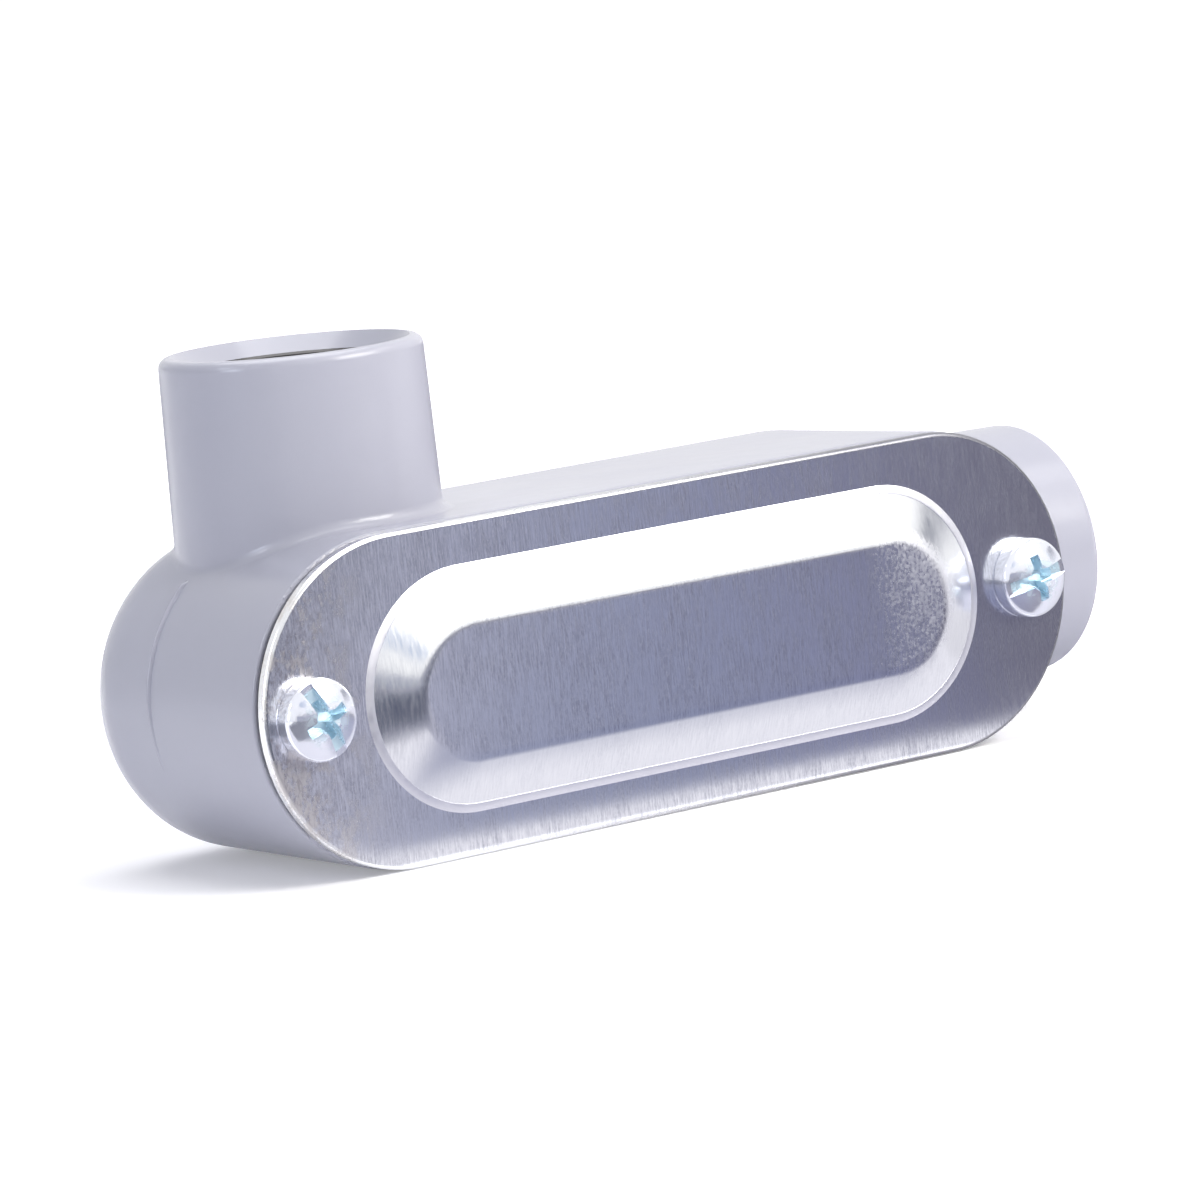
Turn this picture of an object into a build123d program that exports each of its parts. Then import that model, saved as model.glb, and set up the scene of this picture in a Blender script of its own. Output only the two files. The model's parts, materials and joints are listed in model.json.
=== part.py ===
from build123d import *
import math
import os

# Threaded conduit body, left-hand pattern, 1/2 in. trade size, with its cover, gasket and screws.
# X runs along the body with the end hub towards +X, the cover faces -Y and the side hub points up +Z.
# The origin is at the middle of the assembled part's outline in plan, on the level of its lowest edge.
# All sizes are in millimetres.

os.makedirs("parts", exist_ok=True)

# Cover: one stamping with a raised panel
cover_length = 106.6
cover_width = 35.0
cover_thickness = 1.1
cover_edge_round = 0.45
panel_end_gap = 13.1
panel_side_gap = 5.05
panel_rise = 2.2
panel_bevel = 5.35
panel_foot_radius = 2.5
panel_crown_radius = 3.2
screw_clearance = 0.35

# Gasket: die-cut from flat sheet
gasket_thickness = 0.8
gasket_inset = 0.45
gasket_setback = 0.3
gasket_corner = 8.0

# Body casting: an obround trough, drafted towards its back
body_overhang = 0.1
body_depth = 36.1
wall = 2.7
back_wall = 3.0
body_draft = 1.0
back_round = 9.0
rim_round = 0.4
chamber_corner = 4.0
chamber_round = 3.5

# Hubs: the same bore in both, from the mouth inwards a lead-in, the thread and a rounded bushing
hub_back_distance = 16.9
hub_mouth_radius = 14.0
hub_draft = 1.0
hub_lip_round = 1.1
hub_root_fillet = 1.3
side_hub_inset = 22.0
end_hub_reach = 11.3
thread_radius = 10.6
thread_length = 13.0
lead_radius = 12.7
lead_depth = 1.9
throat_radius = 7.9
bushing_length = 6.6
throat_round = 2.0
shoulder_chamfer = 1.2

# Screw bosses: cast columns with blind tapped holes
screw_inset = 5.85
boss_radius = 4.5
boss_draft = 0.5
tapped_depth = 9.0
drill_point = 0.8

# Cover screws, size 8-32: the shank is drawn at the root of its thread, the tapped hole at its crest
screw_crest_diameter = 4.17
screw_pitch = 0.794
screw_length = 9.5
screw_point = 0.6
tapped_clearance = 0.03
head_diameter = 8.7
head_side = 2.0
head_rise = 1.1
head_edge_round = 0.9
head_seat_round = 0.25
slot_width = 1.5
slot_depth = 1.1
cross_span = 5.6
cross_width = 1.2
cross_depth = 2.2
cross_taper = 26.5
flare_width = 3.0
flare_slope = 52.0
left_slot_angle = 26.0
right_slot_angle = -78.0

# Places that follow from the sizes above
thread_height = 0.6134 * screw_pitch
shank_radius = screw_crest_diameter / 2 - thread_height
tapped_radius = screw_crest_diameter / 2 + tapped_clearance
cover_half = cover_width / 2
body_half = cover_half + body_overhang
span = cover_length - cover_width
panel_length = cover_length - 2 * panel_end_gap
panel_width = cover_width - 2 * panel_side_gap
hub_axis_depth = body_depth - hub_back_distance
bore_depth = lead_depth + thread_length + bushing_length
head_height = head_side + head_rise
dome_radius = ((head_diameter / 2) ** 2 + head_rise**2) / (2 * head_rise)
flare_cut = dome_radius - math.sqrt(dome_radius**2 - (flare_width / 2) ** 2)
screw_hole_radius = screw_crest_diameter / 2 + screw_clearance

cover_end = cover_length / 2
screw_x = cover_end - screw_inset
side_hub_x = side_hub_inset - cover_end
body_end = span / 2 + body_half
hub_end = cover_end + end_hub_reach
wall_at_hub = body_half - wall - hub_axis_depth * math.tan(math.radians(body_draft))
hub_top = wall_at_hub + bore_depth
end_wall_x = hub_end - bore_depth

x_middle = (hub_end - body_end) / 2
y_rim = cover_thickness + gasket_thickness
y_back = y_rim + body_depth
y_axis = y_rim + hub_axis_depth
front_reach = max(head_height - flare_cut, panel_rise)
y_middle = (y_back - front_reach) / 2
z_axis = body_half

# The hubs' root fillets are held to the strip of wall between the wider hub and the body's rim
longest_hub = max(hub_top, hub_end - span / 2)
widest_root = hub_mouth_radius + longest_hub * math.tan(math.radians(hub_draft))
root_land = hub_axis_depth - widest_root - rim_round
root_fillet = min(hub_root_fillet, 0.6 * root_land)

# Everything is built around the middle of the cover's front face, then moved onto the origin
to_origin = Pos(-x_middle, -y_middle, z_axis)


def facing_front(x, y):
    """A sketch plane at (x, y) that looks out of the cover: local x along X, local y along Z."""
    return Plane(origin=(x, y, 0), x_dir=(1, 0, 0), z_dir=(0, -1, 0))


def facing_back(x, y):
    """A sketch plane at (x, y) that looks into the body."""
    return Plane(origin=(x, y, 0), x_dir=(1, 0, 0), z_dir=(0, 1, 0))


def obround(half_span, radius):
    """A flat slot shape, from the half distance between its end centres and its end radius."""
    return SlotCenterToCenter(2 * half_span, 2 * radius)


def at_depth(shape, y):
    """The edges of a shape that lie wholly in the plane across Y at depth y."""
    return shape.edges().filter_by_position(Axis.Y, y - 0.01, y + 0.01)


def corners_along_y(shape):
    """The sharp edges of a shape that run back along Y: all but the seams where its arcs begin."""
    nearly = math.cos(math.radians(10))
    rising = [edge for edge in shape.edges() if abs((edge @ 1 - edge @ 0).normalized().Y) > nearly]
    return [edge for edge in rising if abs(abs(edge.center().X) - span / 2) > 0.01]


def trough(half_span, radius, y_start, depth, round_radius):
    """An obround column that narrows towards the back and has a rounded back edge."""
    column = extrude(facing_back(0, y_start) * obround(half_span, radius), depth, taper=body_draft)
    return fillet(at_depth(column, y_start + depth), round_radius)


def hub(place, length):
    """A drafted hub, turned about its own axis, with its mouth at the place and its root inside."""
    root_radius = hub_mouth_radius + length * math.tan(math.radians(hub_draft))
    cone = Cone(root_radius, hub_mouth_radius, length, align=(Align.CENTER, Align.CENTER, Align.MAX))
    mouth = cone.edges().filter_by(GeomType.CIRCLE).sort_by(Axis.Z)[-1]
    return place * fillet(mouth, hub_lip_round)


def hub_bore(place):
    """The cutter for a hub's bore: lead-in, thread wall, shoulder, throat and bell mouth."""
    shoulder = lead_depth + thread_length
    bell_radius = throat_radius + throat_round
    bell_start = bore_depth - throat_round
    wall_side = Polyline(
        (0, 1),
        (lead_radius, 1),
        (lead_radius, 0),
        (thread_radius, -lead_depth),
        (thread_radius, -shoulder),
        (throat_radius, -shoulder),
        (throat_radius, -bell_start),
    )
    bell = CenterArc((bell_radius, -bell_start), throat_round, 180, 90)
    inner_end = Polyline(
        (bell_radius, -bore_depth),
        (bell_radius, -bore_depth - wall),
        (0, -bore_depth - wall),
        (0, 1),
    )
    section = make_face(wall_side + bell + inner_end)
    corner = section.vertices().sort_by_distance((throat_radius, -shoulder))[0]
    section = chamfer(corner, shoulder_chamfer)
    return place * revolve(Plane.XZ * section, Axis.Z)


def root_edges(shape, mouth):
    """The edges where a hub's cone meets the trough; the mouth point tells the two hubs apart."""
    cones = shape.faces().filter_by(GeomType.CONE)
    rim = 2 * math.pi * hub_mouth_radius
    for cone in cones:
        circles = cone.edges().filter_by(GeomType.CIRCLE)
        lips = [edge for edge in circles if (edge.arc_center - mouth).length < 2 * hub_lip_round]
        if lips:
            outline = cone.edges()
            return [edge for edge in outline if edge.geom_type != GeomType.LINE and edge not in lips]
    raise ValueError("the hub's cone was not found")


def screw_column(x, y_start, depth):
    """A cast boss that widens towards the back, so that the core draws out of the chamber."""
    grow = depth * math.tan(math.radians(boss_draft))
    column = Cone(boss_radius, boss_radius + grow, depth, align=(Align.CENTER, Align.CENTER, Align.MIN))
    return facing_back(x, y_start).location * column


def tapped_hole(x):
    """The blind hole for a cover screw, with the drill's point at its end."""
    hole = Cylinder(tapped_radius, tapped_depth, align=(Align.CENTER, Align.CENTER, Align.MIN))
    point = Cone(tapped_radius, 0, drill_point, align=(Align.CENTER, Align.CENTER, Align.MIN))
    return facing_back(x, y_rim).location * (hole + Pos(0, 0, tapped_depth) * point)


def make_body():
    """The whole casting: trough, hubs, wiring chamber, end wall, screw bosses, bores and holes."""
    side_place = Pos(side_hub_x, y_axis, hub_top)
    end_place = Pos(hub_end, y_axis, 0) * Rot(0, 90, 0)
    casting = trough(span / 2, body_half, y_rim, body_depth, back_round)
    casting += hub(side_place, hub_top)
    casting += hub(end_place, hub_end - span / 2)
    casting = fillet(root_edges(casting, side_place.position), root_fillet)
    casting = fillet(root_edges(casting, end_place.position), root_fillet)

    chamber_depth = body_depth - back_wall
    chamber = extrude(
        facing_back(0, y_rim) * obround(span / 2, body_half - wall), chamber_depth, taper=body_draft
    )
    end_block = Pos(end_wall_x, y_rim - 1, 0) * Box(
        cover_length, body_depth + 2, cover_width, align=(Align.MIN, Align.MIN, Align.CENTER)
    )
    chamber -= end_block
    chamber -= screw_column(-screw_x, y_rim, chamber_depth)
    chamber = fillet(corners_along_y(chamber), chamber_corner)
    chamber = fillet(at_depth(chamber, y_rim + chamber_depth), chamber_round)

    casting -= chamber
    casting -= hub_bore(side_place)
    casting -= hub_bore(end_place)
    for x in (-screw_x, screw_x):
        casting -= tapped_hole(x)
    rim = casting.faces().sort_by(Axis.Y)[0]
    return fillet(rim.outer_wire().edges(), rim_round)


def make_gasket():
    """A flat ring that follows the rim and widens over the screw bosses."""
    outline = obround(span / 2, cover_half - gasket_inset)
    half_length = screw_x - boss_radius
    half_width = body_half - wall + gasket_setback
    opening = RectangleRounded(2 * half_length, 2 * half_width, gasket_corner)
    holes = Locations((-screw_x, 0), (screw_x, 0)) * Circle(screw_hole_radius)
    sheet = outline - opening - holes
    return extrude(facing_back(0, cover_thickness) * sheet, gasket_thickness)


def panel_section():
    """Half of the raised panel's section: local x out from its spine, local y up from the flange."""
    slope = math.atan2(panel_rise, panel_bevel)
    shift = cover_thickness * math.tan(slope / 2)
    foot = panel_width / 2
    crown = foot - panel_bevel
    land = foot + panel_foot_radius
    section = make_face(
        Polyline(
            (0, panel_rise),
            (crown, panel_rise),
            (foot, 0),
            (land, 0),
            (land, -cover_thickness),
            (foot - shift, -cover_thickness),
            (crown - shift, panel_rise - cover_thickness),
            (0, panel_rise - cover_thickness),
            close=True,
        )
    )
    bends = [
        ((crown, panel_rise), panel_crown_radius),
        ((foot, 0), panel_foot_radius),
        ((foot - shift, -cover_thickness), panel_foot_radius + cover_thickness),
        ((crown - shift, panel_rise - cover_thickness), panel_crown_radius - cover_thickness),
    ]
    for place, radius in bends:
        section = fillet(section.vertices().sort_by_distance(place)[0], radius)
    return section


def make_cover():
    """The stamping: a flat obround flange around a panel raised on sloping sides."""
    panel_span = panel_length - panel_width
    land = panel_width / 2 + panel_foot_radius
    flange = extrude(facing_back(0, 0) * obround(span / 2, cover_half), cover_thickness)
    flange = fillet(at_depth(flange, 0), cover_edge_round)
    flange -= extrude(facing_back(0, 0) * obround(panel_span / 2, land), cover_thickness)

    left_end = Plane(origin=(-panel_span / 2, 0, 0), x_dir=(0, 0, 1), z_dir=(1, 0, 0))
    right_end = Plane(origin=(panel_span / 2, 0, 0), x_dir=(0, 0, 1), z_dir=(1, 0, 0))
    upper_side = extrude(left_end * panel_section(), panel_span)
    panel = upper_side + mirror(upper_side, about=Plane.XY)
    panel += revolve(left_end * panel_section(), Axis(left_end.origin, (0, -1, 0)), 180)
    panel += revolve(right_end * panel_section(), Axis(right_end.origin, (0, 1, 0)), 180)

    cover = flange + panel
    for x in (-screw_x, screw_x):
        cover -= extrude(facing_back(x, 0) * Circle(screw_hole_radius), cover_thickness)
    return cover


def drive_recess():
    """The recess cutter: a slot right across the head and a tapering cross with a flared middle."""
    low = (Align.CENTER, Align.CENTER, Align.MIN)
    tip_radius = cross_span / 2 - cross_depth * math.tan(math.radians(cross_taper))
    slot = Pos(0, 0, head_height - slot_depth) * Box(slot_width, head_diameter, slot_depth, align=low)
    wings = Box(cross_width, cross_span, cross_depth, align=low)
    wings += Box(cross_span, cross_width, cross_depth, align=low)
    wings &= Cone(tip_radius, cross_span / 2, cross_depth, align=low)
    flare_depth = flare_width / 2 * math.tan(math.radians(flare_slope))
    flare = Cone(0, flare_width / 2, flare_depth, align=(Align.CENTER, Align.CENTER, Align.MAX))
    return slot + Pos(0, 0, head_height - cross_depth) * wings + Pos(0, 0, head_height) * flare


def make_screw(x, slot_angle):
    """A pan-head machine screw with its head on the cover and its shank in the tapped boss."""
    rim_point = (head_diameter / 2, head_side)
    crown_point = (0, head_height)
    outline = Polyline(crown_point, (0, 0), (head_diameter / 2, 0), rim_point)
    outline += RadiusArc(rim_point, crown_point, -dome_radius)
    profile = make_face(outline)
    profile = fillet(profile.vertices().sort_by_distance(rim_point)[0], head_edge_round)
    profile = fillet(profile.vertices().sort_by_distance((head_diameter / 2, 0))[0], head_seat_round)
    head = revolve(Plane.XZ * profile, Axis.Z) - Rot(0, 0, slot_angle) * drive_recess()
    shank = Cylinder(shank_radius, screw_length, align=(Align.CENTER, Align.CENTER, Align.MAX))
    shank = chamfer(shank.edges().filter_by(GeomType.CIRCLE).sort_by(Axis.Z)[0], screw_point)
    return facing_front(x, 0).location * (head + shank)


nodes = {
    "body": make_body(),
    "gasket": make_gasket(),
    "cover": make_cover(),
    "screw_left": make_screw(-screw_x, left_slot_angle),
    "screw_right": make_screw(screw_x, right_slot_angle),
}

for name, shape in nodes.items():
    placed = to_origin * shape
    print(name, round(placed.volume, 1), placed.is_valid, len(placed.solids()), placed.bounding_box())
    export_step(placed, f"parts/{name}.step")
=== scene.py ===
import json
import math

import bmesh
import bpy
from mathutils import Matrix, Vector


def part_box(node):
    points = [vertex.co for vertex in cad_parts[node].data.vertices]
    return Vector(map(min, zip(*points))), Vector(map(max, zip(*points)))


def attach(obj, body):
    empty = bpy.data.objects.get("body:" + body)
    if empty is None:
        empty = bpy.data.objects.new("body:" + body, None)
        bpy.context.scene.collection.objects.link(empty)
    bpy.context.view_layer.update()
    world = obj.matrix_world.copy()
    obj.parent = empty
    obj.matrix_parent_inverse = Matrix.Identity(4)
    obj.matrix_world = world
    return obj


# Threaded conduit body with its cover, gasket and screws, on a plain pale floor.
# All lengths are in metres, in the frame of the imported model: X along the body, the cover facing -Y, Z up.

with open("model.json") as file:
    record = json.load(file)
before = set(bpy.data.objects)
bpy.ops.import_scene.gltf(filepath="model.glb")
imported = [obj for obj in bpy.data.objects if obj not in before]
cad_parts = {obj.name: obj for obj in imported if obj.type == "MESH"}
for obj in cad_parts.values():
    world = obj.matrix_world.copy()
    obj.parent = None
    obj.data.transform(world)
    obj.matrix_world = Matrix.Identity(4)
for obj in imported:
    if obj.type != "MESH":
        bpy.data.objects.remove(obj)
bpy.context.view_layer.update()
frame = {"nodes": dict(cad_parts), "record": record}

MM = 0.001

# Places read from the frame
cover_low, cover_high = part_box("cover")
body_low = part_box("body")[0]
screw_low, screw_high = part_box("screw_left")
other_low, other_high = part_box("screw_right")
mounts = {mount["name"]: mount for mount in frame["record"]["mounts"]}
side_hub = Vector(mounts["side_hub"]["pos_m"])
end_hub = Vector(mounts["end_hub"]["pos_m"])
bore_radius = mounts["side_hub"]["dims"]["r_mm"] * MM
bore_length = mounts["side_hub"]["dims"]["length_mm"] * MM
cover_middle = (cover_low + cover_high) / 2
cover_half_width = (cover_high.z - cover_low.z) / 2
cover_half_span = (cover_high.x - cover_low.x) / 2 - cover_half_width
screw_axes = ((screw_low.x + screw_high.x) / 2, (other_low.x + other_high.x) / 2)
screw_z = (screw_low.z + screw_high.z) / 2
head_radius = (screw_high.x - screw_low.x) / 2

# The cover's pressed panel, with the sizes of the part's source
panel_rise = 2.2 * MM
panel_end_gap = 13.1 * MM
panel_side_gap = 5.05 * MM
panel_bevel = 5.35 * MM
panel_foot_radius = 2.5 * MM
flange_face = cover_low.y + panel_rise

# The band pressed round the panel's foot: its lip stands proud, and its other edges are sunk in the sheet
band_lip = 0.035 * MM
band_skirt = 0.05 * MM
band_depth = 0.3 * MM
band_steps = 48

# The screws' domed heads, with the sizes of the part's source
head_rise = 1.1 * MM
dome_radius = (head_radius ** 2 + head_rise ** 2) / (2 * head_rise)
recess_flare = 1.5 * MM
dome_top = screw_low.y - recess_flare ** 2 / (2 * dome_radius)

# Hub threads: 1/2 in. taper pipe thread, 14 to the inch. The flat is a part of the pitch.
pipe_pitch = 1.814 * MM
pipe_thread_height = 1.40 * MM
pipe_flat = 0.16
pipe_turns_short = 0.75
tap_run_in = 0.25 * MM

# Where the tap's cut ends, just past the bore's inner end: parts of the bore's length, from its middle
tap_end = (-0.53, -0.52)

# How far every thread's foot reaches into the metal
thread_foot_depth = 0.02 * MM

# The casting's parting line on its closed end: a low ridge in a plane a little behind the hubs' axes
body_radius = 17.6 * MM
body_draft = math.radians(1.0)
parting_y = side_hub.y + 0.8 * MM
parting_width = 0.60 * MM
parting_height = 0.34 * MM
parting_top = math.radians(51)
parting_bottom = math.radians(-24)
parting_fade_top = 0.04
parting_fade_bottom = 0.45
parting_sink = 0.01 * MM
parting_root = 0.05 * MM

# Shading: points within the weld distance are one, edges over the angle, in degrees, are sharp, and the
# smoothing follows the large faces
sharp_angle = 32
weld_distance = 1e-6
large_face_weight = 60

# Cover screws: 8-32 thread. The foot and the flat are parts of the pitch, on each side of the ridge's middle.
screw_length = 9.5 * MM
screw_point = 0.6 * MM
screw_runout = 1.4 * MM
screw_pitch = 0.794 * MM
screw_crest_radius = 2.085 * MM
screw_root_radius = 1.60 * MM
screw_thread_foot = 0.44
screw_thread_flat = 0.07

# Camera, as fitted to the photo: the angles are in degrees
camera_azimuth = -35.83
camera_elevation = 7.16
camera_roll = -5.85
camera_distance = 0.7782
camera_target = Vector((-0.01547, -0.017512, 0.02405))
camera_lens = 222.3
sensor_width = 36.0

# Where the flat cover sends the camera's view: a place one step higher on it looks this much farther along
# X and -Y on the floor
mirror_x = 4.65
mirror_y = 6.43

# The room's light, and the floor's own glow, which rises over a distance so that the floor ends pale
room_light = 0.34
floor_half_size = 6.0
floor_lift = (0.25, 0.75)
floor_lift_distance = (0.15, 1.2)

# The lamps: name, place, width, height, power and colour
lamps_aim = (0, 0, 0.02)
lamps = (
    ("key", (0.38, -0.72, 0.58), 0.6, 0.5, 9.2, (1.0, 0.975, 0.91)),
    ("rim", (0.72, -0.20, 0.70), 0.25, 0.35, 0.6, (1.0, 0.98, 0.95)),
    ("overhead", (0.1, 0.2, 1.0), 0.8, 0.8, 6.8, (1, 1, 1)),
    ("left_fill", (-0.88, -0.06, 0.24), 0.22, 0.18, 1.4, (0.80, 0.87, 1.0)),
)

# The two cards on the floor glow and are seen only in reflections, as painted reflections. They share an
# edge, which runs from beside the cover to the far right
card_height = 0.0005
card_front = -0.019
card_left = -0.30
card_far = -0.75
card_right = 0.90
card_back = 0.6
card_split = ((0.05, card_front), (0.10, -0.060), (card_right, card_far))
right_card_span = (-0.03, 0.01)

# The front floor card is light in a strip next to the cover, a painted reflection of lit floor. It turns
# between two values of Y, and later by a delay in front of the cover's round ends.
strip_edge = (-0.0240, -0.0305)
strip_left_start = -4 * MM
strip_left_reach = 16 * MM
strip_left_delay = 22 * MM
strip_right_start = 1 * MM
strip_right_reach = 9 * MM
strip_right_delay = 12 * MM

# The upright cards, which glow as painted reflections and, for the glint card, a painted glint: where they
# stand, their reach and the spans of their colours. The glint card leans.
wall_distance = 0.9
camera_side_x = (-0.13, 0.01)
camera_side_z = (0.24, 0.36)
front_wall_x = (-0.25, 1.2)
front_wall_z = (0.0, 0.10)
front_wall_span = (-0.2, 0.6)
right_wall_place = 0.92
right_wall_y = (-0.50, -0.22)
right_wall_z = (0.09, 0.32)
right_wall_span = (0.09, 0.22)
glint_x = (-0.66, -0.62)
glint_y = (0.02, 0.18)
glint_z = (0.40, 0.52)

# Colours, linear
PAINT = (0.400, 0.405, 0.487)
PAINT_LIGHT = (0.415, 0.420, 0.500)
ALUMINIUM = (0.93, 0.94, 0.97)
ALUMINIUM_DULL = (0.50, 0.51, 0.58)
ALUMINIUM_PRESSED = (0.80, 0.80, 0.86)
ALUMINIUM_SOILED = (0.66, 0.62, 0.60)
ALUMINIUM_STAINED = (0.30, 0.27, 0.29)
# The dull sheared edge, with painted shade that darkens it towards the end hub
ALUMINIUM_SHEARED_AND_SHADED = (0.22, 0.22, 0.25)
ZINC = (0.84, 0.86, 0.95)
ZINC_RECESS = (0.60, 0.77, 0.87)
RUBBER = (0.02, 0.02, 0.022)
BARE = (0.36, 0.35, 0.35)
# Near-black where the tap cut the coat: painted shade inside the bores
CUT_AND_SHADE = (0.045, 0.043, 0.048)
FLOOR = (0.90, 0.90, 0.94)

# Colours of the cards, which glow as painted reflections and a painted glint: the strip next to the cover,
# then each card from one end of its span to the other
NEXT_TO_COVER = (0.88, 0.87, 0.93)
FRONT_FLOOR = ((0.11, 0.12, 0.17), (0.14, 0.15, 0.20), (0.50, 0.50, 0.60), (0.32, 0.34, 0.47),
               (0.26, 0.28, 0.41), (0.23, 0.24, 0.37), (0.15, 0.145, 0.20))
RIGHT_FLOOR = ((0.84, 0.83, 0.88), (0.36, 0.36, 0.42))
# A painted glint, far brighter than white, for the side hub's lip and root
LEFT_GLINT = ((11.0, 11.5, 12.5), (11.0, 11.5, 12.5))
# Painted reflections of a dim room, in the cover, the screws and the coat
CAMERA_SIDE = ((0.34, 0.42, 0.60), (0.62, 0.70, 0.84))
RIGHT_WALL = ((0.80, 0.80, 0.84), (0.30, 0.31, 0.36))
FRONT_WALL = ((0.27, 0.29, 0.39), (0.20, 0.20, 0.27))


# Materials. A noise takes its scale and detail, and a ramp goes from one pair of values to another.
class Nodes:
    """Adds nodes to a material's tree and joins them, so that each material reads as a short list."""

    def __init__(self, name):
        self.material = bpy.data.materials.new(name)
        self.material.use_nodes = True
        self.tree = self.material.node_tree
        self.shader = self.tree.nodes["Principled BSDF"]

    def add(self, kind, **settings):
        node = self.tree.nodes.new(kind)
        for name, value in settings.items():
            setattr(node, name, value)
        return node

    def join(self, source, target):
        self.tree.links.new(source, target)

    def put(self, name, value):
        self.shader.inputs[name].default_value = value

    def coordinates(self, scale=(1, 1, 1)):
        place = self.add("ShaderNodeTexCoord")
        mapping = self.add("ShaderNodeMapping")
        mapping.inputs["Scale"].default_value = scale
        self.join(place.outputs["Object"], mapping.inputs["Vector"])
        return mapping.outputs["Vector"]

    def noise(self, scale, detail=2.0, stretch=(1, 1, 1), roughness=0.5):
        node = self.add("ShaderNodeTexNoise")
        node.inputs["Scale"].default_value = scale
        node.inputs["Detail"].default_value = detail
        node.inputs["Roughness"].default_value = roughness
        self.join(self.coordinates(stretch), node.inputs["Vector"])
        return node.outputs["Fac"]

    def ramp(self, source, low, high, to_low, to_high):
        node = self.add("ShaderNodeMapRange")
        node.inputs["From Min"].default_value = low
        node.inputs["From Max"].default_value = high
        node.inputs["To Min"].default_value = to_low
        node.inputs["To Max"].default_value = to_high
        self.join(source, node.inputs["Value"])
        return node.outputs["Result"]

    def math(self, operation, first, second):
        node = self.add("ShaderNodeMath", operation=operation)
        for socket, value in zip(node.inputs, (first, second)):
            if isinstance(value, (int, float)):
                socket.default_value = value
            else:
                self.join(value, socket)
        return node.outputs[0]

    def blend(self, factor, low, high):
        node = self.add("ShaderNodeMix", data_type="RGBA")
        factor_in = next(s for s in node.inputs if s.name == "Factor" and s.type == "VALUE")
        low_in, high_in = (s for s in node.inputs if s.name in "AB" and s.type == "RGBA")
        result = next(s for s in node.outputs if s.type == "RGBA")
        self.join(factor, factor_in)
        for socket, colour in ((low_in, low), (high_in, high)):
            if isinstance(colour, tuple):
                socket.default_value = (*colour, 1)
            else:
                self.join(colour, socket)
        return result

    def place(self):
        """The place in the model's own frame, in metres."""
        return self.add("ShaderNodeTexCoord").outputs["Object"]

    def split(self, vector):
        node = self.add("ShaderNodeSeparateXYZ")
        self.join(vector, node.inputs["Vector"])
        return node.outputs["X"], node.outputs["Y"], node.outputs["Z"]

    def vector(self, operation, first, second=None):
        node = self.add("ShaderNodeVectorMath", operation=operation)
        self.join(first, node.inputs[0])
        if second is not None:
            node.inputs[1].default_value = second
        return node.outputs["Value" if operation in ("LENGTH", "DOT_PRODUCT") else "Vector"]

    def bump(self, height, distance, strength=1.0, below=None):
        node = self.add("ShaderNodeBump")
        node.inputs["Distance"].default_value = distance
        node.inputs["Strength"].default_value = strength
        self.join(height, node.inputs["Height"])
        if below is not None:
            self.join(below, node.inputs["Normal"])
        return node.outputs["Normal"]


def in_bore(n, mount, along, across):
    """1 in a hub's tapped bore and on the edge that the tap's run-in cut, 0 elsewhere: where the coat is cut
    away and painted near-black as shade.
    """
    offset = n.vector("SUBTRACT", n.place(), tuple(mount))
    radius = n.vector("LENGTH", n.vector("MULTIPLY", offset, across))
    edge = bore_radius + tap_run_in
    near = n.ramp(radius, edge, edge + 0.03 * MM, 1, 0)
    inwards = n.vector("DOT_PRODUCT", offset, along)
    deep = n.ramp(inwards, tap_end[0] * bore_length, tap_end[1] * bore_length, 0, 1)
    return n.math("MULTIPLY", near, deep)


def paint():
    """Semi-gloss powder coat: bluish grey, with a faint orange peel, and near-black where the tap cut it
    away, as painted shade inside the bores.
    """
    n = Nodes("powder_coat")
    in_side_bore = in_bore(n, side_hub, (0, 0, 1), (1, 1, 0))
    in_end_bore = in_bore(n, end_hub, (1, 0, 0), (0, 1, 1))
    # Painted shade: the bores and the tap's cut edge turn near-black
    cut_and_shade = n.math("MAXIMUM", in_side_bore, in_end_bore)
    coat = n.blend(n.ramp(n.noise(45, 3), 0.3, 0.7, 0, 1), PAINT, PAINT_LIGHT)
    n.join(n.blend(cut_and_shade, coat, CUT_AND_SHADE), n.shader.inputs["Base Color"])
    n.put("IOR", 1.5)
    n.join(n.ramp(n.noise(140, 3), 0.3, 0.7, 0.20, 0.26), n.shader.inputs["Roughness"])
    swell = n.bump(n.noise(110, 1), 0.05 * MM, 0.5)
    n.join(n.bump(n.noise(1100, 2), 0.008 * MM, 1.0, swell), n.shader.inputs["Normal"])
    return n.material


def panel_scuffs(n, x, y, z):
    """The mottled scuffing on top of the panel's right end, thicker towards its end and its upper edge."""
    panel_end = cover_middle.x + cover_half_span - panel_end_gap + panel_side_gap
    towards_end = n.ramp(x, panel_end - 4 * MM, panel_end + 7 * MM, 0, 1)
    upwards = n.ramp(z, cover_middle.z - 3 * MM, cover_middle.z + 7 * MM, 0.55, 1.2)
    density = n.math("MULTIPLY", towards_end, upwards)
    speckle = n.math("ADD", n.noise(2600, 3, roughness=0.6), n.math("MULTIPLY", density, 0.36))
    on_top = n.ramp(y, cover_low.y + 0.25 * MM, cover_low.y + 0.7 * MM, 1, 0)
    scuffed = n.math("MULTIPLY", n.ramp(speckle, 0.50, 1.0, 0, 0.62), n.ramp(density, 0, 0.2, 0, 1))
    return n.math("MULTIPLY", scuffed, on_top)


def cover_rim(n, x, z):
    """1 on the cover's outermost strip and cut edge, 0 inside them, by the distance from its middle line."""
    past_span = n.math("SUBTRACT", x, cover_middle.x)
    past_span = n.math("SUBTRACT", n.math("ABSOLUTE", past_span, 0), cover_half_span)
    past_span = n.math("MAXIMUM", past_span, 0)
    across = n.math("SUBTRACT", z, cover_middle.z)
    square = n.math("ADD", n.math("MULTIPLY", past_span, past_span), n.math("MULTIPLY", across, across))
    distance = n.math("SQRT", square, 0)
    return n.ramp(distance, cover_half_width - 0.5 * MM, cover_half_width - 0.35 * MM, 0, 1)


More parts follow.
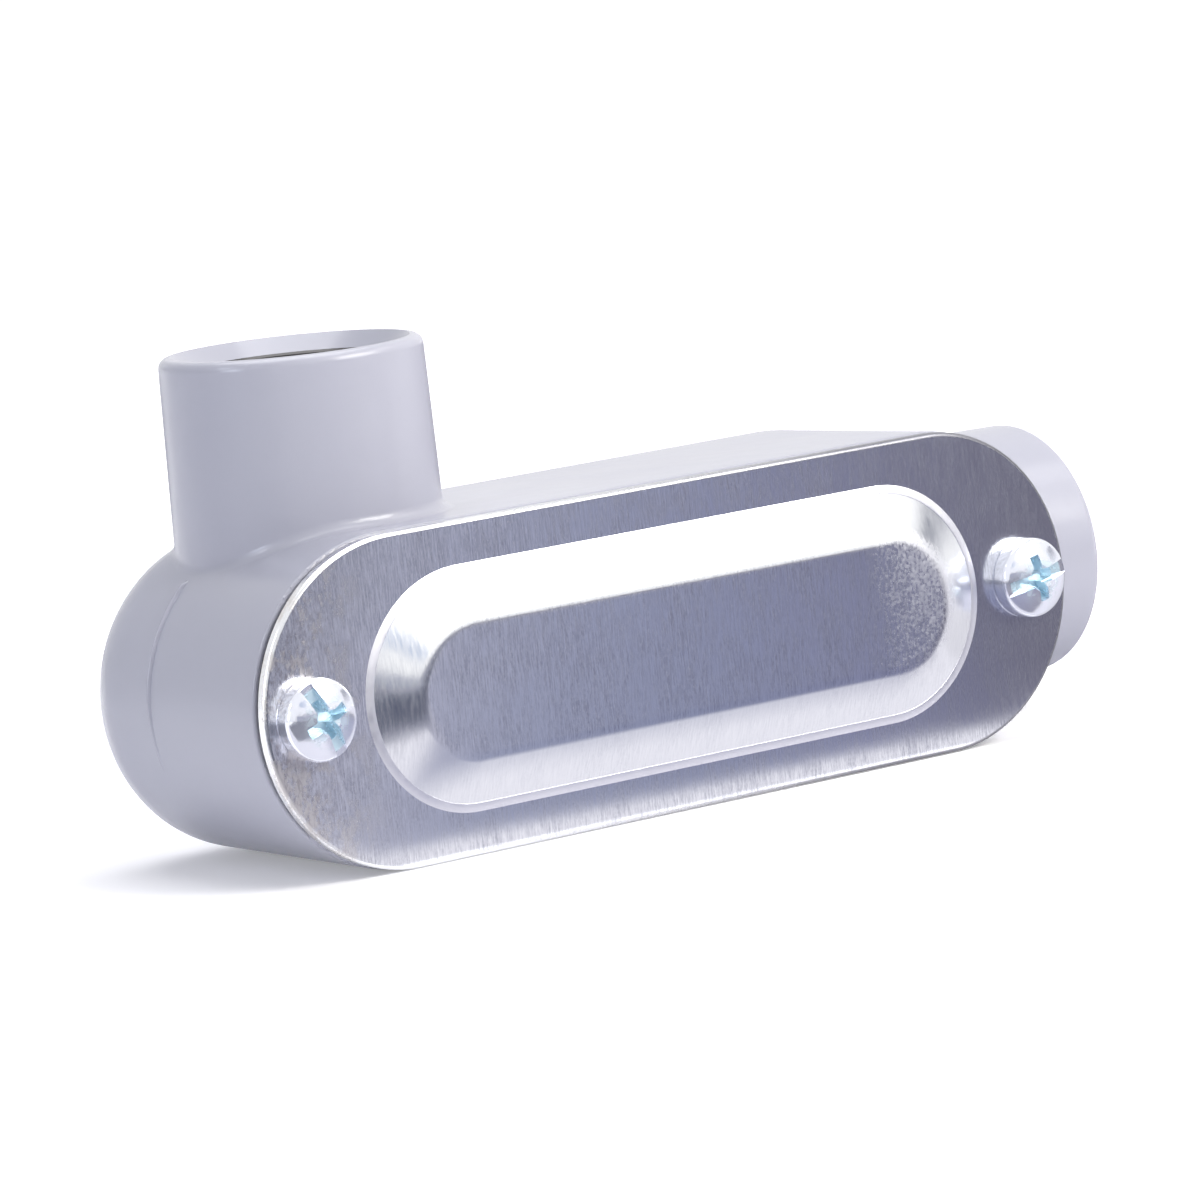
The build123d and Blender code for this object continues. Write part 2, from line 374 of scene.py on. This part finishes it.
def streak_shade(n, streaks, patches):
    """How far the rolling streaks dull the sheet, which is less where it slopes."""
    grain = n.noise(5200, 2, stretch=(1, 1, 0.5))
    shade = n.math("MULTIPLY", n.ramp(streaks, 0.36, 0.62, 0, 1), n.ramp(patches, 0, 1, 0.45, 1.0))
    shade = n.math("MULTIPLY", shade, n.ramp(grain, 0.35, 0.6, 0.55, 1))
    facing_y = n.split(n.add("ShaderNodeNewGeometry").outputs["Normal"])[1]
    facing = n.math("ABSOLUTE", facing_y, 0)
    return n.math("MULTIPLY", shade, n.ramp(facing, 0.94, 0.99, 0.2, 1))


def aluminium():
    """Mill-finish sheet: semi-mirror, with short rolling streaks along Z, and soiled at its closed end."""
    n = Nodes("mill_aluminium")
    x, y, z = n.split(n.place())
    patches = n.ramp(n.noise(230, 5, stretch=(1, 1, 0.6), roughness=0.65), 0.38, 0.62, 0, 1)
    streaks = n.noise(1, 5, stretch=(4800, 900, 450), roughness=0.68)
    metal = n.blend(streak_shade(n, streaks, patches), ALUMINIUM, ALUMINIUM_DULL)

    at_end = n.ramp(x, cover_low.x + 15 * MM, cover_low.x + 5 * MM, 0, 1)
    blotches = n.ramp(n.noise(330, 4, stretch=(1, 1, 0.7), roughness=0.7), 0.48, 0.58, 0, 1)
    soil = n.math("MULTIPLY", at_end, blotches)
    metal = n.blend(n.math("MULTIPLY", soil, 0.7), metal, ALUMINIUM_SOILED)

    rim = cover_rim(n, x, z)
    at_tip = n.ramp(x, cover_low.x + 12 * MM, cover_low.x + 3 * MM, 0, 0.55)
    stains = n.ramp(n.noise(1, 5, stretch=(2400, 500, 1000), roughness=0.75), 0.47, 0.62, 0, 1)
    stain = n.math("MULTIPLY", at_tip, stains)
    metal = n.blend(n.math("MULTIPLY", stain, n.math("SUBTRACT", 1, rim)), metal, ALUMINIUM_STAINED)

    scuffs = panel_scuffs(n, x, y, z)
    metal = n.blend(scuffs, metal, ALUMINIUM_PRESSED)

    # The sheared edge is dull, and painted shade keeps it bright at the closed end and darkens it towards the
    # end hub, thinning its highlight there
    edge_shade_along = n.ramp(x, cover_low.x + 25 * MM, cover_middle.x + 25 * MM, 0.15, 1)
    edge = n.math("MULTIPLY", rim, edge_shade_along)
    n.join(n.blend(edge, metal, ALUMINIUM_SHEARED_AND_SHADED), n.shader.inputs["Base Color"])
    n.put("Metallic", 1.0)

    rough = n.math("ADD", n.ramp(streaks, 0.36, 0.64, 0.11, 0.22), n.ramp(patches, 0, 1, 0, 0.05))
    rough = n.math("ADD", rough, n.math("MULTIPLY", n.math("MAXIMUM", soil, edge), 0.15))
    n.join(n.math("ADD", rough, n.math("MULTIPLY", scuffs, 0.42)), n.shader.inputs["Roughness"])
    waves = n.bump(n.noise(170, 2), 0.04 * MM, 0.6)
    fine = n.bump(streaks, 0.0035 * MM, 1.0, waves)
    n.join(n.bump(soil, 0.01 * MM, 0.4, fine), n.shader.inputs["Normal"])
    return n.material


def pressed_aluminium():
    """The sheet where the die's edge burnished it round the panel's foot: satin, with no streaks."""
    n = Nodes("pressed_aluminium")
    n.put("Base Color", (*ALUMINIUM_PRESSED, 1))
    n.put("Metallic", 1.0)
    n.join(n.ramp(n.noise(900, 3), 0.3, 0.7, 0.36, 0.46), n.shader.inputs["Roughness"])
    n.join(n.bump(n.noise(700, 2), 0.01 * MM, 0.6), n.shader.inputs["Normal"])
    return n.material


def zinc():
    """Bright zinc plate with its pale blue passivation, which gathers in the drive recess."""
    n = Nodes("zinc_plate")
    y = n.split(n.place())[1]
    in_head = n.ramp(y, flange_face - 0.5 * MM, flange_face - 0.3 * MM, 1, 0)
    recesses = []
    for axis in screw_axes:
        offset = n.vector("SUBTRACT", n.vector("MULTIPLY", n.place(), (1, 0, 1)), (axis, 0, screw_z))
        radius = n.vector("LENGTH", offset)
        dome = n.math("MULTIPLY", n.math("MULTIPLY", radius, radius), 1 / (2 * dome_radius))
        depth = n.math("SUBTRACT", n.math("SUBTRACT", y, dome_top), dome)
        cut = n.ramp(depth, 0.15 * MM, 0.45 * MM, 0, 1)
        recess = n.math("MULTIPLY", cut, n.ramp(radius, 3.5 * MM, 3.7 * MM, 1, 0))
        clouds = n.ramp(n.noise(900, 2), 0.44, 0.56, 0, 1)
        halo = n.math("MULTIPLY", clouds, n.ramp(radius, 2.0 * MM, 3.2 * MM, 0.6, 0))
        recesses.append(n.math("MAXIMUM", recess, halo))
    tint = n.math("MULTIPLY", n.math("MAXIMUM", recesses[0], recesses[1]), in_head)
    n.join(n.blend(tint, ZINC, ZINC_RECESS), n.shader.inputs["Base Color"])
    n.join(n.ramp(tint, 0, 1, 0.84, 0.5), n.shader.inputs["Metallic"])
    polish = n.ramp(n.noise(1500, 3), 0.3, 0.7, 0.10, 0.17)
    n.join(n.math("ADD", polish, n.ramp(tint, 0, 1, 0, 0.12)), n.shader.inputs["Roughness"])
    swell = n.bump(n.noise(420, 2), 0.05 * MM, 0.7)
    n.join(n.bump(n.noise(2600, 2), 0.006 * MM, 1.0, swell), n.shader.inputs["Normal"])
    return n.material


def rubber():
    """Black die-cut gasket sheet."""
    n = Nodes("gasket_rubber")
    n.put("Base Color", (*RUBBER, 1))
    n.join(n.ramp(n.noise(2500, 2), 0.3, 0.7, 0.7, 0.9), n.shader.inputs["Roughness"])
    return n.material


def bare_metal():
    """Tapped aluminium, where the coating was cut away."""
    n = Nodes("tapped_aluminium")
    n.put("Base Color", (*BARE, 1))
    n.put("Metallic", 1.0)
    n.join(n.ramp(n.noise(3000, 2), 0.3, 0.7, 0.25, 0.4), n.shader.inputs["Roughness"])
    return n.material


# Mesh helpers
def swept(name, rows, material, body, loop=False):
    """A closed piece through like rows of points, each a closed outline, with its ends capped or joined."""
    width = len(rows[0])
    count = len(rows)
    faces = []
    for i in range(count if loop else count - 1):
        for j in range(width):
            here, there = i * width, (i + 1) % count * width
            after = (j + 1) % width
            faces.append((here + j, here + after, there + after, there + j))
    if not loop:
        faces.append(tuple(range(width)))
        faces.append(tuple((count - 1) * width + j for j in range(width)))
    mesh = bpy.data.meshes.new(name)
    mesh.from_pydata([point for row in rows for point in row], [], faces)
    sides = bmesh.new()
    sides.from_mesh(mesh)
    bmesh.ops.recalc_face_normals(sides, faces=sides.faces)
    sides.to_mesh(mesh)
    sides.free()
    for polygon in mesh.polygons:
        polygon.use_smooth = True
    mesh.set_sharp_from_angle(angle=math.radians(sharp_angle))
    mesh.materials.append(material)
    piece = bpy.data.objects.new(name, mesh)
    bpy.context.scene.collection.objects.link(piece)
    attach(piece, body)


def helix(profile, pitch, turns, steps, fade):
    """Rows of points along a thread ridge. profile(height) gives (radius, offset along the axis) pairs."""
    rows = []
    count = int(turns * steps) + 1
    for i in range(count):
        angle = 2 * math.pi * i / steps
        near_end = min(1.0, min(i, count - 1 - i) / (fade * steps))
        height = near_end * near_end * (3 - 2 * near_end)
        rows.append([Vector((radius * math.cos(angle), radius * math.sin(angle), pitch * i / steps + offset))
                     for radius, offset in profile(height)])
    return rows


def pipe_thread(name, place, material):
    """The inside thread of a hub. It winds in from the mouth; place takes +Z to the bore's way out."""
    def profile(height):
        crest = bore_radius - pipe_thread_height * height
        base = bore_radius + thread_foot_depth
        foot = pipe_pitch * (0.5 - pipe_flat / 2)
        top = pipe_pitch * pipe_flat / 2
        return [(base, -foot), (crest, -top), (crest, top), (base, foot)]

    start = Matrix.Translation((0, 0, -bore_length / 2 + pipe_pitch / 2))
    turns = bore_length / pipe_pitch - pipe_turns_short
    rows = helix(profile, pipe_pitch, turns, steps=96, fade=0.4)
    rows = [[place @ start @ point for point in row] for row in rows]
    swept(name, rows, material, "housing")


def screw_thread(name, body, material):
    """The outside thread on a cover screw's shank, from under the cover to its point."""
    low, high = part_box(body)
    axis_x, axis_z = (low.x + high.x) / 2, (low.z + high.z) / 2

    def profile(height):
        crest = screw_root_radius + (screw_crest_radius - screw_root_radius) * height
        base = screw_root_radius - thread_foot_depth
        foot = screw_thread_foot * screw_pitch
        top = screw_thread_flat * screw_pitch
        return [(base, -foot), (crest, -top), (crest, top), (base, foot)]

    turns = (screw_length - screw_point - screw_runout) / screw_pitch
    rows = helix(profile, screw_pitch, turns, steps=40, fade=0.5)
    rows = [[Vector((axis_x + point.x, high.y - screw_point - point.z, axis_z + point.y)) for point in row]
            for row in rows]
    swept(name, rows, material, body)


def parting_line(material):
    """The low ridge where the die halves met, round the closed end from the side hub's root downwards."""
    centre_x = body_low.x + body_radius
    centre_z = body_low.z + body_radius
    count = 96
    across = [-1 + 2 * j / 8 for j in range(9)]
    rows = []
    for i in range(count):
        part = i / (count - 1)
        angle = parting_top + (parting_bottom - parting_top) * part
        height = parting_height * min(1.0, part / parting_fade_top, (1 - part) / parting_fade_bottom)
        outline = [(side, height * math.cos(side * math.pi / 2) - parting_sink) for side in across]
        outline += [(side, -parting_root) for side in (1, -1)]
        row = []
        for side, rise in outline:
            y = parting_y + side * parting_width / 2
            radius = body_radius - (y - body_low.y) * math.tan(body_draft) + rise
            row.append(Vector((centre_x - radius * math.cos(angle), y, centre_z + radius * math.sin(angle))))
        rows.append(row)
    swept("parting_line", rows, material, "housing")


def panel_foot(material):
    """The flat band that the die's edge pressed round the foot of the cover's raised panel."""
    foot_radius = cover_half_width - panel_side_gap
    half_span = cover_half_width + cover_half_span - panel_end_gap - foot_radius
    slope = math.atan2(panel_rise, panel_bevel)
    reach = panel_foot_radius * math.tan(slope / 2)
    outer = foot_radius + reach
    inner = foot_radius - reach * math.cos(slope)
    inner_rise = reach * math.sin(slope)
    outline = [(outer + band_skirt, -0.02 * MM),
               (outer, 0.012 * MM),
               (inner + 0.12 * MM, inner_rise + band_lip * 0.4),
               (inner + 0.05 * MM, inner_rise + band_lip * 0.5),
               (inner, inner_rise - 0.02 * MM),
               (inner, inner_rise - band_depth),
               (outer + band_skirt, -band_depth)]
    rows = []
    for turn, middle in ((-90, half_span), (90, -half_span)):
        for i in range(band_steps + 1):
            angle = math.radians(turn + 180 * i / band_steps)
            rows.append([Vector((cover_middle.x + middle + radius * math.cos(angle), flange_face - rise,
                                 cover_middle.z + radius * math.sin(angle))) for radius, rise in outline])
    swept("panel_foot", rows, material, "housing", loop=True)


def smooth_cad(node, material):
    """Gives a CAD node its material and smooth shading across its tangent faces, by modifiers alone."""
    piece = frame["nodes"][node]
    piece.data.materials.clear()
    piece.data.materials.append(material)
    weld = piece.modifiers.new("weld", "WELD")
    weld.merge_threshold = weld_distance
    tree = bpy.data.node_groups.get("smooth_by_angle") or smooth_group()
    smooth = piece.modifiers.new("smooth", "NODES")
    smooth.node_group = tree
    normals = piece.modifiers.new("normals", "WEIGHTED_NORMAL")
    normals.keep_sharp = True
    normals.mode = "FACE_AREA"
    normals.weight = large_face_weight


def smooth_group():
    """A node group that smooths all faces and marks the edges over an angle as sharp."""
    tree = bpy.data.node_groups.new("smooth_by_angle", "GeometryNodeTree")
    tree.interface.new_socket("Geometry", in_out="INPUT", socket_type="NodeSocketGeometry")
    tree.interface.new_socket("Geometry", in_out="OUTPUT", socket_type="NodeSocketGeometry")
    start = tree.nodes.new("NodeGroupInput")
    end = tree.nodes.new("NodeGroupOutput")
    faces = tree.nodes.new("GeometryNodeSetShadeSmooth")
    faces.domain = "FACE"
    faces.inputs["Shade Smooth"].default_value = True
    edges = tree.nodes.new("GeometryNodeSetShadeSmooth")
    edges.domain = "EDGE"
    edges.inputs["Shade Smooth"].default_value = False
    angle = tree.nodes.new("GeometryNodeInputMeshEdgeAngle")
    compare = tree.nodes.new("FunctionNodeCompare")
    compare.data_type = "FLOAT"
    compare.operation = "GREATER_THAN"
    compare.inputs["B"].default_value = math.radians(sharp_angle)
    tree.links.new(start.outputs["Geometry"], faces.inputs["Geometry"])
    tree.links.new(faces.outputs["Geometry"], edges.inputs["Geometry"])
    tree.links.new(angle.outputs["Unsigned Angle"], compare.inputs["A"])
    tree.links.new(compare.outputs["Result"], edges.inputs["Selection"])
    tree.links.new(edges.outputs["Geometry"], end.inputs["Geometry"])
    return tree


# Staging
def make_camera():
    """The camera at the photo's viewing angle, turned round its own axis by the roll."""
    azimuth = math.radians(camera_azimuth)
    elevation = math.radians(camera_elevation)
    roll = math.radians(camera_roll)
    back = Vector((math.sin(azimuth) * math.cos(elevation),
                   -math.cos(azimuth) * math.cos(elevation),
                   math.sin(elevation)))
    right = (-back).cross(Vector((0, 0, 1))).normalized()
    up = right.cross(-back)
    turned_right = math.cos(roll) * right + math.sin(roll) * up
    turned_up = math.cos(roll) * up - math.sin(roll) * right
    data = bpy.data.cameras.new("camera")
    data.lens = camera_lens
    data.sensor_width = sensor_width
    data.clip_start = 0.01
    data.clip_end = 20
    camera = bpy.data.objects.new("camera", data)
    bpy.context.scene.collection.objects.link(camera)
    turn = Matrix((turned_right, turned_up, back)).transposed().to_4x4()
    camera.matrix_world = Matrix.Translation(camera_target + back * camera_distance) @ turn
    bpy.context.scene.camera = camera


def area_light(name, place, width, height, power, colour):
    """A soft lamp that faces the part."""
    data = bpy.data.lights.new(name, "AREA")
    data.shape = "RECTANGLE"
    data.size = width
    data.size_y = height
    data.energy = power
    data.color = colour
    light = bpy.data.objects.new(name, data)
    bpy.context.scene.collection.objects.link(light)
    light.location = place
    light.rotation_mode = "QUATERNION"
    light.rotation_quaternion = (Vector(lamps_aim) - Vector(place)).to_track_quat("-Z", "Y")


def next_to_cover(n, along, first, last):
    """1 on the floor card's strip next to the cover, a painted reflection of lit floor, 0 past it. first and
    last are the cover's ends.
    """
    across = n.vector("DOT_PRODUCT", n.place(), along)
    first = first + strip_left_start
    last = last + strip_right_start
    left = n.ramp(across, first, first + strip_left_reach, strip_left_delay, 0)
    right = n.ramp(across, last - strip_right_reach, last, 0, strip_right_delay)
    y = n.split(n.place())[1]
    return n.ramp(n.math("ADD", y, n.math("ADD", left, right)), *strip_edge, 1, 0)


def reflection_card(name, corners, along, span, colours, cover_ends=None):
    """A glowing card that only reflections see: a painted reflection. Its colours change along a direction,
    over a span.

    cover_ends are two places along that direction. Between them the card is light next to the cover.
    """
    mesh = bpy.data.meshes.new(name)
    mesh.from_pydata(corners, [], [tuple(range(len(corners)))])
    n = Nodes(name)
    n.tree.nodes.remove(n.shader)
    bands = n.add("ShaderNodeValToRGB")
    while len(bands.color_ramp.elements) < len(colours):
        bands.color_ramp.elements.new(0.5)
    for i, (element, colour) in enumerate(zip(bands.color_ramp.elements, colours)):
        element.position = i / (len(colours) - 1)
        element.color = (*colour, 1)
    n.join(n.ramp(n.vector("DOT_PRODUCT", n.place(), along), *span, 0, 1), bands.inputs["Fac"])
    colour = bands.outputs["Color"]
    if cover_ends is not None:
        colour = n.blend(next_to_cover(n, along, *cover_ends), colour, NEXT_TO_COVER)
    glow = n.add("ShaderNodeEmission")
    n.join(colour, glow.inputs["Color"])
    n.join(glow.outputs[0], n.tree.nodes["Material Output"].inputs["Surface"])
    mesh.materials.append(n.material)
    piece = bpy.data.objects.new(name, mesh)
    bpy.context.scene.collection.objects.link(piece)
    piece.visible_camera = False
    piece.visible_diffuse = False
    piece.visible_shadow = False
    piece.visible_transmission = False


def on_floor(places):
    """Corners of a card just above the floor, from its places in X and Y."""
    return [(x, y, card_height) for x, y in places]


def facing_part(across, upwards):
    """Corners of an upright card in front of the part, from its reach in X and in Z."""
    (left, right), (low, high) = across, upwards
    return [(left, -wall_distance, low), (right, -wall_distance, low),
            (right, -wall_distance, high), (left, -wall_distance, high)]


def seen_by_camera_or_mirror(tree):
    """1 where a ray comes from the camera or from a shiny or clear surface, 0 where it only lights."""
    path = tree.nodes.new("ShaderNodeLightPath")
    total = path.outputs["Is Camera Ray"]
    for name in ("Is Glossy Ray", "Is Transmission Ray"):
        either = tree.nodes.new("ShaderNodeMath")
        either.operation = "MAXIMUM"
        tree.links.new(total, either.inputs[0])
        tree.links.new(path.outputs[name], either.inputs[1])
        total = either.outputs[0]
    return total


def make_floor():
    """A matt floor that the camera and the metal see as nearly white, and that keeps the part's shadow."""
    size = floor_half_size
    mesh = bpy.data.meshes.new("floor")
    corners = [(-size, -size, 0), (size, -size, 0), (size, size, 0), (-size, size, 0)]
    mesh.from_pydata(corners, [], [(0, 1, 2, 3)])
    material = bpy.data.materials.new("floor")
    material.use_nodes = True
    tree = material.node_tree
    tree.nodes.clear()
    matt = tree.nodes.new("ShaderNodeBsdfDiffuse")
    matt.inputs["Color"].default_value = (*FLOOR, 1)
    lift = tree.nodes.new("ShaderNodeEmission")
    place = tree.nodes.new("ShaderNodeTexCoord")
    distance = tree.nodes.new("ShaderNodeVectorMath")
    distance.operation = "LENGTH"
    level = tree.nodes.new("ShaderNodeMapRange")
    level.inputs["From Min"].default_value = floor_lift_distance[0]
    level.inputs["From Max"].default_value = floor_lift_distance[1]
    level.inputs["To Min"].default_value = floor_lift[0]
    level.inputs["To Max"].default_value = floor_lift[1]
    seen = tree.nodes.new("ShaderNodeMath")
    seen.operation = "MULTIPLY"
    tree.links.new(place.outputs["Object"], distance.inputs[0])
    tree.links.new(distance.outputs["Value"], level.inputs["Value"])
    tree.links.new(level.outputs["Result"], seen.inputs[0])
    tree.links.new(seen_by_camera_or_mirror(tree), seen.inputs[1])
    tree.links.new(seen.outputs[0], lift.inputs["Strength"])
    both = tree.nodes.new("ShaderNodeAddShader")
    out = tree.nodes.new("ShaderNodeOutputMaterial")
    tree.links.new(matt.outputs[0], both.inputs[0])
    tree.links.new(lift.outputs[0], both.inputs[1])
    tree.links.new(both.outputs[0], out.inputs["Surface"])
    mesh.materials.append(material)
    floor = bpy.data.objects.new("floor", mesh)
    bpy.context.scene.collection.objects.link(floor)


def make_world():
    """White where it is seen, and dimmer as a light."""
    world = bpy.data.worlds.new("studio")
    bpy.context.scene.world = world
    world.use_nodes = True
    tree = world.node_tree
    back = tree.nodes["Background"]
    back.inputs["Color"].default_value = (1, 1, 1, 1)
    level = tree.nodes.new("ShaderNodeMapRange")
    level.inputs["To Min"].default_value = room_light
    level.inputs["To Max"].default_value = 1.0
    tree.links.new(seen_by_camera_or_mirror(tree), level.inputs["Value"])
    tree.links.new(level.outputs["Result"], back.inputs["Strength"])


def make_cards():
    """Painted reflections and a painted glint: glowing cards that the cover, the screws and the coat mirror,
    placed where the camera's view goes after them.
    """
    (glint_left, glint_right), (glint_near, glint_far), (glint_low, glint_high) = glint_x, glint_y, glint_z
    right_near, right_far = right_wall_y
    right_low, right_high = right_wall_z
    along_cover = (1, mirror_x / mirror_y, 0)
    face = flange_face * mirror_x / mirror_y
    cover_quarter = (cover_high.x - cover_low.x) / 4
    reflection_card("front_floor_card",
         on_floor([(card_left, card_front), *card_split, (card_left, card_far)]),
         along_cover, (cover_low.x - 2 * cover_quarter + face, cover_high.x + face), FRONT_FLOOR,
         (cover_low.x + face, cover_high.x + face))
    reflection_card("right_floor_card",
         on_floor([*card_split, (card_right, card_back), (card_split[0][0], card_back)]),
         (0, 1, 0), right_card_span, RIGHT_FLOOR)
    reflection_card("left_glint_card",
         [(glint_left, glint_near, glint_low), (glint_left, glint_far, glint_low),
          (glint_right, glint_far, glint_high), (glint_right, glint_near, glint_high)],
         (0, 0, 1), glint_z, LEFT_GLINT)
    reflection_card("camera_side_card", facing_part(camera_side_x, camera_side_z), (1, 0, 0), camera_side_x, CAMERA_SIDE)
    reflection_card("right_wall_card",
         [(right_wall_place, right_near, right_low), (right_wall_place, right_far, right_low),
          (right_wall_place, right_far, right_high), (right_wall_place, right_near, right_high)],
         (0, 0, 1), right_wall_span, RIGHT_WALL)
    reflection_card("front_wall_card", facing_part(front_wall_x, front_wall_z), (1, 0, 0), front_wall_span, FRONT_WALL)


def make_part():
    """The finishes, and the forms that are too fine for the solids."""
    coat = paint()
    sheet = aluminium()
    plate = zinc()
    tapped = bare_metal()
    smooth_cad("body", coat)
    smooth_cad("cover", sheet)
    smooth_cad("gasket", rubber())
    panel_foot(pressed_aluminium())
    for side in ("screw_left", "screw_right"):
        smooth_cad(side, plate)
        screw_thread(side + "_thread", side, plate)
    up = Matrix.Translation(side_hub)
    out = Matrix.Translation(end_hub) @ Matrix.Rotation(math.radians(90), 4, "Y")
    pipe_thread("side_hub_thread", up, tapped)
    pipe_thread("end_hub_thread", out, tapped)
    parting_line(coat)


def main():
    make_part()
    make_floor()
    make_world()
    make_camera()
    for lamp in lamps:
        area_light(*lamp)
    make_cards()


main()
bpy.context.scene.view_settings.view_transform = "Standard"
bpy.context.view_layer.update()
